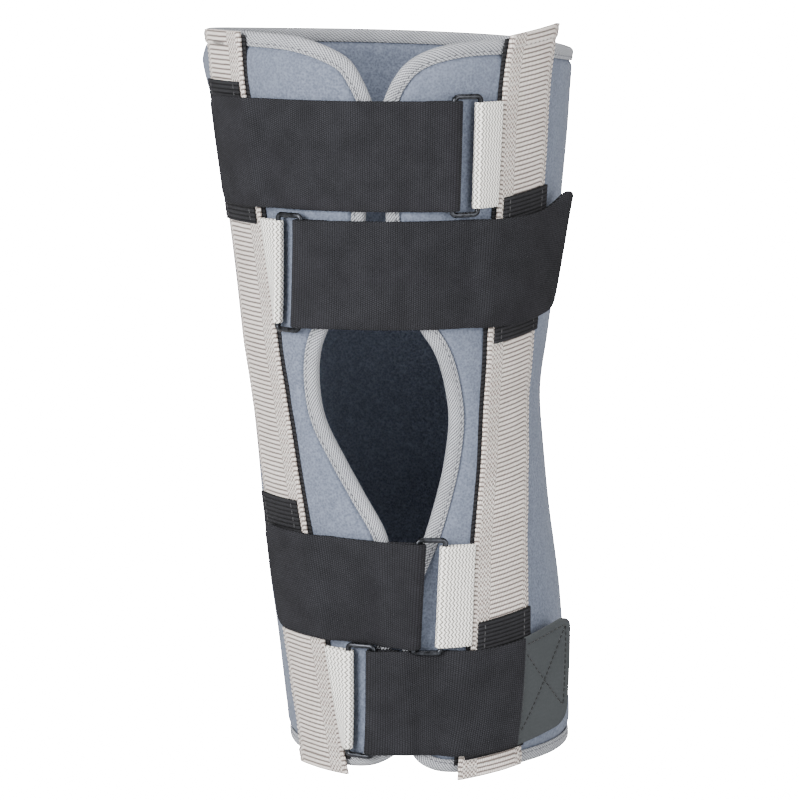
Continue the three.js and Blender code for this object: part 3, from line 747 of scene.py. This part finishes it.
def foam_level(angle, z, distance, spot):
    """Level of the outer face: pinch, roll, straps, unevenness, the bulge beside the top, puckers."""
    level = -pinch_depth * (1 - roll(distance))
    front_angle = (angle + math.pi) % full_turn - math.pi
    inside = smooth((distance - pinch_end) / 9)
    level += inside * pressed(front_angle, z)
    level += inside * 0.55 * noise.noise(spot * 28)
    beside_bulge = (front_angle - bulge_angle) / bulge_spread
    above_bulge = (z - height + bulge_below_top) / bulge_half_height
    level += inside * bulge_rise * math.exp(-beside_bulge ** 2 - above_bulge ** 2)
    near = inside * smooth((26 - distance) / 14)
    level += near * 0.45 * noise.noise(spot * 130)
    return level


# %% Sleeve
def flat_coons(i, j, hem, top, left, right):
    """A point of the wrap between its four edges, from its column and row."""
    (low, u_low), (high, u_high) = hem[i], top[i]
    (near, v_near), (far, v_far) = left[j], right[j]
    u = (u_low + u_high) / 2
    v = (v_near + v_far) / 2
    corners = ((hem[0][0], hem[-1][0]), (top[0][0], top[-1][0]))
    sides = low * (1 - v) + high * v + near * (1 - u) + far * u
    return sides - (corners[0][0] * (1 - u) + corners[0][1] * u) * (1 - v) - (
        corners[1][0] * (1 - u) + corners[1][1] * u) * v


def moved_in(points, turn):
    """An edge's points moved in by the tape's thickness, square to the edge."""
    moved = []
    for k, (spot, share) in enumerate(points):
        before, after = points[max(k - 1, 0)][0], points[min(k + 1, len(points) - 1)][0]
        radius = girth_radius(spot.y)
        way = Vector(((after.x - before.x) * radius / spread, after.y - before.y)).normalized() * turn
        inner = Vector((spot.x + way.y * sleeve_edge * spread / radius, spot.y - way.x * sleeve_edge))
        moved.append((inner, share))
    return moved


edges_and_turns = [(hem_points, 1), (top_points, -1), (left_points, -1), (right_points, 1)]
wrap_edges = [moved_in(points, turn) for points, turn in edges_and_turns]
for k, edge in ((0, wrap_edges[2]), (-1, wrap_edges[3])):
    for ends, row in ((wrap_edges[0], 0), (wrap_edges[1], -1)):
        corner = (ends[k][0] + edge[row][0]) / 2
        ends[k] = (corner, ends[k][1])
        edge[row] = (corner, edge[row][1])

wrap, spots = mapped_grid(
    cuts_around, cuts_up, lambda i, j: (i * 2.2, j * 2.3), ["angle", "height", "edge gap"],
)
angle_at, height_at, gap_at = (wrap.verts.layers.float[name] for name in ("angle", "height", "edge gap"))
for v, (i, j) in spots.items():
    flat = flat_coons(i, j, *wrap_edges)
    angle, z = flat.x / spread, flat.y
    face_spot = at_angle(angle, z, 0)
    distance = edge_tree.find(face_spot)[2] / MM
    v[angle_at], v[height_at], v[gap_at] = angle, z, distance
    v.co = at_angle(angle, z, foam_level(angle, z, distance, face_spot))
grown = bmesh.ops.extrude_face_region(wrap, geom=wrap.faces[:])
for v in grown["geom"]:
    if isinstance(v, bmesh.types.BMVert):
        inward = -foam_thickness + pinch_depth * (1 - roll(v[gap_at]))
        v.co = at_angle(v[angle_at], v[height_at], inward)
sleeve = finish_piece(wrap, "sleeve", foam, ["foam_sleeve"])
print("sleeve", len(sleeve.data.polygons), "faces")

# %% [markdown]
# ## The binding
# A light grey twill tape is folded over the foam's edge and sewn through. Its section is a rounded U
# that closes on itself, and it is carried round the whole walk, so no seam shows. The stitches are
# small threads of their own just inside its free edge.

# %% Tape round the edge
tape_top = -pinch_depth + clearance + tape_thickness
tape_low = -foam_thickness + pinch_depth - clearance - tape_thickness
tape_middle = (tape_top + tape_low) / 2
tape_section = [
    (6.6, tape_top - 0.35), (6.35, tape_top - 0.02), (5.6, tape_top + 0.05), (4.9, tape_top - 0.08),
    (4.1, tape_top + 0.12), (3.0, tape_top + 0.22), (2.0, tape_top + 0.1), (1.1, tape_top - 0.35),
    (0.4, tape_top - 1.1), (0.05, tape_top - 2.0), (0.0, tape_middle), (0.05, tape_low + 2.0),
    (0.4, tape_low + 1.1), (1.1, tape_low + 0.35), (2.0, tape_low - 0.05), (4.0, tape_low - 0.1),
    (6.35, tape_low), (6.6, tape_low + 0.35), (6.5, tape_low + 0.9), (3.8, tape_low + 0.95),
    (1.1, tape_low + 1.0), (1.05, tape_middle), (1.1, tape_top - 1.0), (3.8, tape_top - 0.95),
    (6.5, tape_top - 0.9),
]
section_count = len(tape_section)
section_way = [0.0]
for k in range(section_count):
    a, b = tape_section[k], tape_section[(k + 1) % section_count]
    section_way.append(section_way[-1] + math.hypot(b[0] - a[0], b[1] - a[1]))

step_length = edge_length / len(edge_walk)
rolled, spots = mapped_grid(section_count, len(edge_walk), lambda i, j: (section_way[i], j * step_length))
for v, (i, j) in spots.items():
    distance, out = tape_section[i % section_count]
    angle, z = in_from_edge(edge_walk, j % len(edge_walk), distance)
    v.co = at_angle(angle, z, out)
close_solid(rolled)
binding = finish_piece(rolled, "binding", tape, ["edge_binding"])
print("binding", len(binding.data.polygons), "faces")


# %% Stitches
def stitch_piece(name, spots, length, thickness, material):
    """One piece of many small threads. spots: middle, direction and outward normal of each."""
    bm = bmesh.new()
    for middle, way, normal in spots:
        way = way.normalized()
        side = way.cross(normal).normalized()
        up = side.cross(way)
        axes = Matrix((side * thickness / 2, up * thickness / 2, way * length / 2)).transposed().to_4x4()
        placed = Matrix.Translation(middle) @ axes
        bmesh.ops.create_uvsphere(bm, u_segments=6, v_segments=4, radius=1, matrix=placed)
    piece = finish_piece(bm, name, material)
    print(name, len(spots), "stitches")
    return piece


def stitch_spots(point, count, above):
    """Spots along a line. point(t, above) gives a place, above in millimetres off the cloth."""
    spots = []
    for k in range(count):
        t = (k + 0.5) / count
        way = point(t + 0.25 / count, above) - point(t - 0.25 / count, above)
        spots.append((point(t, above), way, point(t, above + 1) - point(t, above)))
    return spots


stitch_pitch = 3.0
stitch_inset = 5.0


def binding_line(t, above):
    place = (t % 1.0) * len(edge_walk)
    k = int(place) % len(edge_walk)
    a1, z1 = in_from_edge(edge_walk, k, stitch_inset)
    a2, z2 = in_from_edge(edge_walk, (k + 1) % len(edge_walk), stitch_inset)
    if abs(a1 - a2) > 1:
        a2 = a1
    return at_angle(lerp(a1, a2, place % 1.0), lerp(z1, z2, place % 1.0), tape_top + above)


sewn = stitch_spots(binding_line, round(edge_length / stitch_pitch), 0.0)
stitch_piece("binding_stitches", sewn, 0.0019, 0.0006, grey_thread)

# %% [markdown]
# ## Side strips
# Two long strips of ribbed webbing are sewn down the front. They show their ribs even in the outline
# of their edges, so the ribs are real relief, six rows of faces to each, while the fine threads are
# left to the material. Each end is folded over and sewn, which makes it over half as thick again, and
# the left top end is puckered by its stitches. A thin black underlay shows beside the inner edge.

# %% Strip tables and levels
stay_reach = 64
webbing_thickness = 1.3
backing_thickness = 0.6
backing_show = 1.8
patch_thickness = 1.2
patch_inset = 2.6
underlay_margin = 1.5
stay_drop = {-1: 3.3, 1: 0}
stay_tilt = {-1: 0, 1: 0.14}
stay_edges = {
    "at": [0, .04, .085, .183, .326, .429, .514, .614, .757, .923, 1],
    "left": [.425, .47, .508, .558, .62, .688, .747, .838, .973, 1.086, 1.117],
    "right": [.388, .412, .465, .561, .67, .773, .836, .852, .908, .95, 1],
}
backing_foot = layer_gap
webbing_foot = backing_foot + backing_thickness + clearance
patch_foot = webbing_foot + webbing_thickness + clearance


def stay_edge(side, z):
    """Distance from the front line to a strip's inner edge."""
    return read_table(stay_edges, "left" if side < 0 else "right", z / height) * stay_reach


def stay_height(side, low, high, past, t):
    """Height of a place on a strip or patch, whose ends rise outwards by the strip's tilt."""
    return lerp(low + stay_tilt[side] * past, high - stay_tilt[side] * (stay_width - past), t)


# The right strip's map starts this many ribs up, clear of the painted shadow of the left one's pucker
ribs_between_maps = 186


def rib_wave(along, pitch):
    return abs(math.sin(math.pi * along / pitch)) ** 0.7


def strip_piece(
    name, side, start, stop, low, high, foot, thickness, material, nodes, relief, step, columns=14,
):
    """A strip down one side. start, stop: distances past its inner edge; relief(along, past): added
    height."""
    rows = max(2, round((high - low) / step))
    width = stop - start
    map_start = 0 if side < 0 else ribs_between_maps * webbing_rib

    def point(j, share, level):
        along = lerp(low, high, j / rows)
        past = lerp(start, stop, share + 0.5)
        z = stay_height(side, low, high, past, j / rows)
        out = foot + (level + 0.5) * thickness
        if level > 0.4:
            out += relief(along, past)
        wander = 0.25 * noise.noise(Vector((z * 0.05, side * 3, start)))
        return on_wrap(side * (stay_edge(side, z) + past + wander), z, out)

    def map_along(j):
        return map_start + lerp(low, high, j / rows)

    bm = band(rows, columns, width, map_along, point, rounding=0.4 / width)
    return finish_piece(bm, name, material, nodes)


# %% Webbing strips
hem_length = 7
hem_step = 0.8


def webbing_relief(side):
    top = height - stay_drop[side]

    def relief(along, past):
        rib = 0.3 * rib_wave(along, webbing_rib)
        folded = smooth((along - (top - hem_length)) / 1.2) + smooth((hem_length - along) / 1.2)
        pucker = 0
        if side < 0:
            off = math.hypot((past - pucker_past) / (1.3 * pucker_reach), (along - pucker_height - 1.5) / 2.4)
            pucker = 1.3 * smooth(1 - off)
        uneven = 0.25 * noise.noise(Vector((along * 0.07, past * 0.12, side)))
        return rib + hem_step * min(folded, 1) + pucker + uneven
    return relief


for side, name in ((-1, "left"), (1, "right")):
    top = height - stay_drop[side]
    strip = strip_piece(
        f"webbing_strip_{name}", side, 0, stay_width, 0, top, webbing_foot, webbing_thickness,
        webbing, [f"stay_webbing_{name}"], webbing_relief(side), webbing_rib / 6,
    )
    strip_piece(
        f"strip_underlay_{name}", side, -backing_show, stay_width - underlay_margin, 2 * top_clearance,
        top - underlay_margin, backing_foot, backing_thickness, hook_cloth,
        [f"stay_backing_{name}"], lambda along, past: 0.0, 3, columns=6,
    )
print("strips done")

# %% Stitches of the strips' folded ends
hem_stitches = 11
for side, name in ((-1, "left"), (1, "right")):
    top = height - stay_drop[side]
    sewn = []
    for share_up in ((hem_length - 1.2) / top, 1 - (hem_length - 1.2) / top):
        def hem_line(t, above, side=side, top=top, share_up=share_up):
            past = lerp(1, stay_width - 1, t)
            z = stay_height(side, 0, top, past, share_up)
            out = webbing_foot + webbing_thickness + hem_step + 0.2 + above
            return on_wrap(side * (stay_edge(side, z) + past), z, out)
        sewn += stitch_spots(hem_line, hem_stitches, 0.0)
    stitch_piece(f"hem_stitches_{name}", sewn, 0.0021, 0.0006, pale_thread)

# %% [markdown]
# ## Straps, rings, keepers and patches
# Each strap turns back round a wire ring that a short keeper holds, runs over the front and fastens
# to a hook patch on the other strip. One row of the table gives a strap's height, side and slants, and
# everything on that strap is placed from its ring. A strap is one long band bent along a path, because
# real webbing keeps its thickness round a fold.

# %% Strap table
strap_width = 50
strap_thickness = 2.2
sewn_back = 12
keeper_width = 48
keeper_thickness = 1
ring_width = 15
wire_diameter = 2.5
ring_corner = 2
ring_slack = 0.8
end_curl = 0.0034
tab_corner = 6
bar_offset = (ring_width - wire_diameter) / 2
strap_over_patch = patch_foot + patch_thickness + layer_gap + strap_thickness / 2
strap_on_foam = layer_gap + strap_thickness / 2
fold_radius = wire_diameter / 2 + clearance + strap_thickness / 2
ring_level = strap_on_foam + fold_radius
ramp = 5

strap_table = [
    dict(side=1, at=.8347, slope=0, lean=.02, reach=.83, tab=.56, end=.8, flat=1.2,
         lift=.2, flare=0, slant=0, tip=0, patch_top=.925, patch_low=.74),
    dict(side=-1, at=.68, slope=0, lean=.02, reach=.57, tab=.8, end=1.36, flat=.1,
         lift=1.3, flare=.8, slant=.06, tip=7, patch_top=.789, patch_low=.584),
    dict(side=1, at=.254, slope=-.035, lean=.133, reach=1, tab=.5, end=.84, flat=1.2,
         lift=.5, flare=0, slant=0, tip=0, patch_top=.371, patch_low=.211),
    dict(side=-1, at=.1065, slope=0, lean=.09, reach=.63, tab=.84, end=1.68, flat=0,
         lift=1, flare=.1, slant=0, tip=0, patch_top=.224, patch_low=.027),
]


# %% Places on one strap
class Strap:
    """Places everything on one strap from its ring: q along it, positive towards the keeper."""

    def __init__(self, row):
        self.row = row
        self.side = row["side"]
        self.middle = row["at"] * height
        self.ring = stay_edge(self.side, self.middle) - row["reach"] * ring_width - bar_offset
        self.anchor = -(stay_edge(-self.side, self.middle) + self.ring)
        self.curl_from = self.anchor - row["flat"] * stay_width
        self.tab_from = self.anchor - row["tab"] * stay_width
        self.tab_to = self.anchor - row["end"] * stay_width
        sewn_end = -bar_offset - sewn_back
        on_sewn = strap_on_foam + strap_thickness + clearance
        rise = self.anchor + ramp / 2
        self.levels = [
            (-bar_offset, ring_level + fold_radius),
            (-bar_offset - 2 * ramp, on_sewn + 0.25),
            (sewn_end - 1, on_sewn),
            (sewn_end - 1 - 1.6 * ramp, strap_on_foam + 0.15),
            (rise + 2.2 * ramp, strap_on_foam + 0.15),
            (rise - 0.5, strap_over_patch),
            (rise - 90, strap_over_patch),
        ]

    def place(self, q, rise, out):
        curl = end_curl * (q - self.curl_from) ** 2 if q < self.curl_from else 0
        fade = strap_width / 2
        near_ring = clamp(1 + (q + bar_offset) / fade)
        near_anchor = clamp((self.anchor + fade - q) / (fade - ramp))
        shift = stay_edge(-self.side, self.middle + rise) - stay_edge(-self.side, self.middle)
        along = self.ring + q - shift * near_anchor
        across = self.side * along + self.row["lean"] * rise * near_ring
        z = self.middle + self.row["slope"] * self.side * along + curl + rise
        return on_wrap(across, z, out)

    def level(self, q):
        for (at, out), (next_at, next_out) in zip(self.levels, self.levels[1:]):
            if q >= next_at:
                return lerp(out, next_out, smooth((q - at) / (next_at - at)))
        return self.levels[-1][1]

    def on_strap(self, q, share, out):
        """A place on the strap itself, with the end's lift, flare and rounded corners."""
        row = self.row
        if q >= self.tab_from:
            return self.place(q, share * strap_width, out)
        along = (self.tab_from - q) / (self.tab_from - self.tab_to)
        past = clamp(1 - (q - self.tab_to) / tab_corner)
        narrowing = tab_corner * (1 - math.sqrt(1 - past * past))
        bend = row["lift"] / (2 * girth_radius(self.middle))
        lift = bend * (1 + 2 * row["flare"] * share) * (self.tab_from - q) ** 2
        longer = row["slant"] * strap_width * share * along
        tip = row["tip"] * smooth(share + 0.5) * along ** 2
        return self.place(q - longer, share * (strap_width - 2 * narrowing) + tip, out + lift)


straps = [Strap(row) for row in strap_table]
print("strap lengths over the front", [round(s.tab_to) for s in straps])


# %% Bands along a path
def path_band(path, width, thickness, place, columns=16, rounding=None, relief=None):
    """A tape along a path of (q, out) points. place(q, share, out) puts its points. The relief goes
    on the face that lies outwards where the path comes back over the front."""
    way = [0.0]
    for a, b in zip(path, path[1:]):
        way.append(way[-1] + math.hypot(b[0] - a[0], b[1] - a[1]))

    def point(j, share, level):
        q, out = path[j]
        before, after = path[max(j - 1, 0)], path[min(j + 1, len(path) - 1)]
        along_q, along_out = after[0] - before[0], after[1] - before[1]
        size = math.hypot(along_q, along_out) or 1.0
        offset = level * thickness
        if relief and level < -0.4:
            offset -= relief(q, share, j)
        return place(q - along_out / size * offset, share, out + along_q / size * offset)

    return band(len(path) - 1, columns, width, lambda j: way[j], point, rounding or 0.5 / width)


def fold_round(bar, radius, start, stop, cuts=18):
    """Part of a turn round a ring's bar."""
    angles = [lerp(start, stop, k / cuts) for k in range(cuts + 1)]
    return [(bar + radius * math.cos(a), ring_level + radius * math.sin(a)) for a in angles]


def run(start, stop, step):
    """Evenly spaced numbers from start to stop, ends included."""
    count = max(1, round(abs(stop - start) / step))
    return [lerp(start, stop, k / count) for k in range(count + 1)]


# %% Wire rings
def ring_path():
    """The ring's rounded rectangle: spots and outward directions, with points along its long bars."""
    half_high = (strap_width + ring_slack + wire_diameter) / 2
    spots = []
    corners = [(1, 1), (-1, 1), (-1, -1), (1, -1)]
    for number, (right, up) in enumerate(corners):
        for k in range(9):
            angle = (number + k / 8) * math.pi / 2
            aside = Vector((math.cos(angle), math.sin(angle)))
            centre = Vector((right * (bar_offset - ring_corner), up * (half_high - ring_corner)))
            spots.append((centre + aside * ring_corner, aside))
        next_right, next_up = corners[(number + 1) % 4]
        next_centre = Vector((next_right * (bar_offset - ring_corner), next_up * (half_high - ring_corner)))
        stop = next_centre + aside * ring_corner
        start = spots[-1][0]
        count = max(2, round((stop - start).length / 3))
        spots += [(start.lerp(stop, k / count), aside) for k in range(1, count)]
    return spots


wire_sides = 12
for number, strap in enumerate(straps, 1):
    spots_round = ring_path()
    count = len(spots_round)
    bent, spots = mapped_grid(wire_sides, count, lambda i, j: (i * 0.65, j * 1.0))
    for v, (i, j) in spots.items():
        spot, aside = spots_round[j % count]
        turn = (i % wire_sides) * full_turn / wire_sides
        edge = spot + aside * (wire_diameter / 2 * math.cos(turn))
        v.co = strap.place(edge.x, edge.y, ring_level + wire_diameter / 2 * math.sin(turn))
    close_solid(bent)
    finish_piece(bent, f"ring_{number}", wire_metal, [f"wire_ring_{number}"])
print("rings done")

# %% Keepers
for number, strap in enumerate(straps, 1):
    radius = wire_diameter / 2 + clearance + keeper_thickness / 2
    tail_low = webbing_foot + keeper_thickness / 2
    tail_high = tail_low + keeper_thickness + clearance
    reach = strap.row["reach"] * ring_width - layer_gap

    def leave_angle(level, face):
        drop = level - ring_level
        return math.atan2(drop, reach) + face * math.acos(radius / math.hypot(reach, drop))

    lower_angle, upper_angle = leave_angle(tail_low, -1), leave_angle(tail_high, 1)
    turned_round = fold_round(bar_offset, radius, lower_angle, upper_angle - full_turn)
    first, last = turned_round[0], turned_round[-1]
    tail = bar_offset + reach
    under = run(tail, first[0], 1)[:-1]
    over = run(last[0], tail, 1)[1:]
    path = [(q, lerp(tail_low, first[1], (tail - q) / (tail - first[0]))) for q in under]
    path += turned_round
    path += [(q, lerp(last[1], tail_high, (q - last[0]) / (tail - last[0]))) for q in over]

    def keeper_place(q, share, out, strap=strap, reach=reach):
        rise = share * keeper_width
        shift = stay_edge(strap.side, strap.middle + rise) - stay_edge(strap.side, strap.middle)
        towards_tail = clamp((q - bar_offset) / reach)
        return strap.place(q + (shift - strap.side * strap.row["lean"] * rise) * towards_tail, rise, out)

    bm = path_band(path, keeper_width, keeper_thickness, keeper_place, columns=24)
    finish_piece(bm, f"keeper_{number}", keeper_cloth, [f"ring_keeper_{number}"])
print("keepers done")

# %% Straps
sewn_tab = 4
tab_step = 0.45
for number, strap in enumerate(straps, 1):
    sewn_end = -bar_offset - sewn_back
    path = [(q, strap_on_foam) for q in run(sewn_end, -bar_offset, 1.5)[:-1]]
    path += fold_round(-bar_offset, fold_radius, -math.pi / 2, math.pi / 2)
    path += [(q, strap.level(q)) for q in run(-bar_offset, strap.tab_to + tab_corner, 1.3)[1:]]
    corner = [strap.tab_to + tab_corner * (1 - math.sin(k * math.pi / 16)) for k in range(1, 9)]
    path += [(q, strap.level(strap.tab_to)) for q in corner]

    def sag(q, share, j, number=number, strap=strap):
        step = -tab_step if number == sewn_tab and q < strap.tab_from else 0
        return step + 0.18 * noise.noise(Vector((q * 0.05, share * 2, number)))

    bm = path_band(path, strap_width, strap_thickness, strap.on_strap, columns=24, relief=sag)
    nodes = [f"strap_{number}", f"end_tab_{number}"]
    piece = finish_piece(bm, f"front_strap_{number}", strap_cloth, nodes)
    piece.data.materials.append(tab_cloth)
    length = sum(math.hypot(b[0] - a[0], b[1] - a[1]) for a, b in zip(path, path[1:]))
    if number == sewn_tab:
        tab_start = sum(
            math.hypot(b[0] - a[0], b[1] - a[1]) for a, b in zip(path, path[1:])
            if b[0] > strap.tab_from or b[1] < ring_level
        )
        tab_map = piece.data.uv_layers["weave"].data
        for polygon in piece.data.polygons:
            if min(tab_map[k].uv.y for k in polygon.loop_indices) > tab_start:
                polygon.material_index = 1
    print("strap", number, round(length), "mm long")

# %% Hook patches
patch_rib = 2.0
patch_stitch_pitch = 3.3


def patch_relief(along, past):
    return 0.22 * rib_wave(along, patch_rib)


for number, strap in enumerate(straps, 1):
    low, high = strap.row["patch_low"] * height, strap.row["patch_top"] * height
    strip_piece(
        f"hook_square_{number}", -strap.side, patch_inset, stay_width, low, high, patch_foot, patch_thickness,
        hook_cloth, [f"hook_patch_{number}"], patch_relief, patch_rib / 6,
    )
    sewn = []
    for past in (patch_inset + 3.2, stay_width - 4.6):
        def patch_line(t, above, strap=strap, past=past, low=low, high=high):
            z = stay_height(-strap.side, low + 1, high - 1, past, t)
            out = patch_foot + patch_thickness + 0.25 + above
            return on_wrap(-strap.side * (stay_edge(-strap.side, z) + past), z, out)
        sewn += stitch_spots(patch_line, round((high - low) / patch_stitch_pitch), 0.0)
    stitch_piece(f"patch_stitches_{number}", sewn, 0.0021, 0.0005, patch_thread)
print("patches done")

# %% Stitches of the bottom strap's tab
tab_lines = {
    "seam": ((0.02, 0.47), (0.02, -0.47)),
    "upper side": ((0.05, 0.43), (0.9, 0.43)),
    "end side": ((0.9, 0.43), (0.9, -0.33)),
    "falling": ((0.05, 0.34), (0.9, -0.33)),
    "rising": ((0.05, -0.37), (0.9, 0.43)),
}
tab_strap = straps[sewn_tab - 1]
stitch_sink = 0.42
sewn = []
for (start_along, start_share), (stop_along, stop_share) in tab_lines.values():
    def tab_line(t, above):
        along, share = lerp(start_along, stop_along, t), lerp(start_share, stop_share, t)
        q = lerp(tab_strap.tab_from, tab_strap.tab_to, along)
        return tab_strap.on_strap(q, share, strap_over_patch + strap_thickness / 2 - stitch_sink + above)
    line_length = (tab_line(1, 0) - tab_line(0, 0)).length / MM
    sewn += stitch_spots(tab_line, round(line_length / 2.6), 0.0)
stitch_piece("tab_stitches", sewn, 0.0022, 0.0006, dark_thread)

# %% [markdown]
# ## Sizes and the end
# Both boxes, the solids' and the looks', are printed. The looks may stand a little proud of the
# solids but not more.

# %% Print the sizes and finish
visual_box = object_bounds()
plain = lambda box: [[float(x) for x in corner] for corner in box]
json.dumps({"cad": plain(cad_box), "visual": plain(visual_box)})
print("visual box", visual_box)
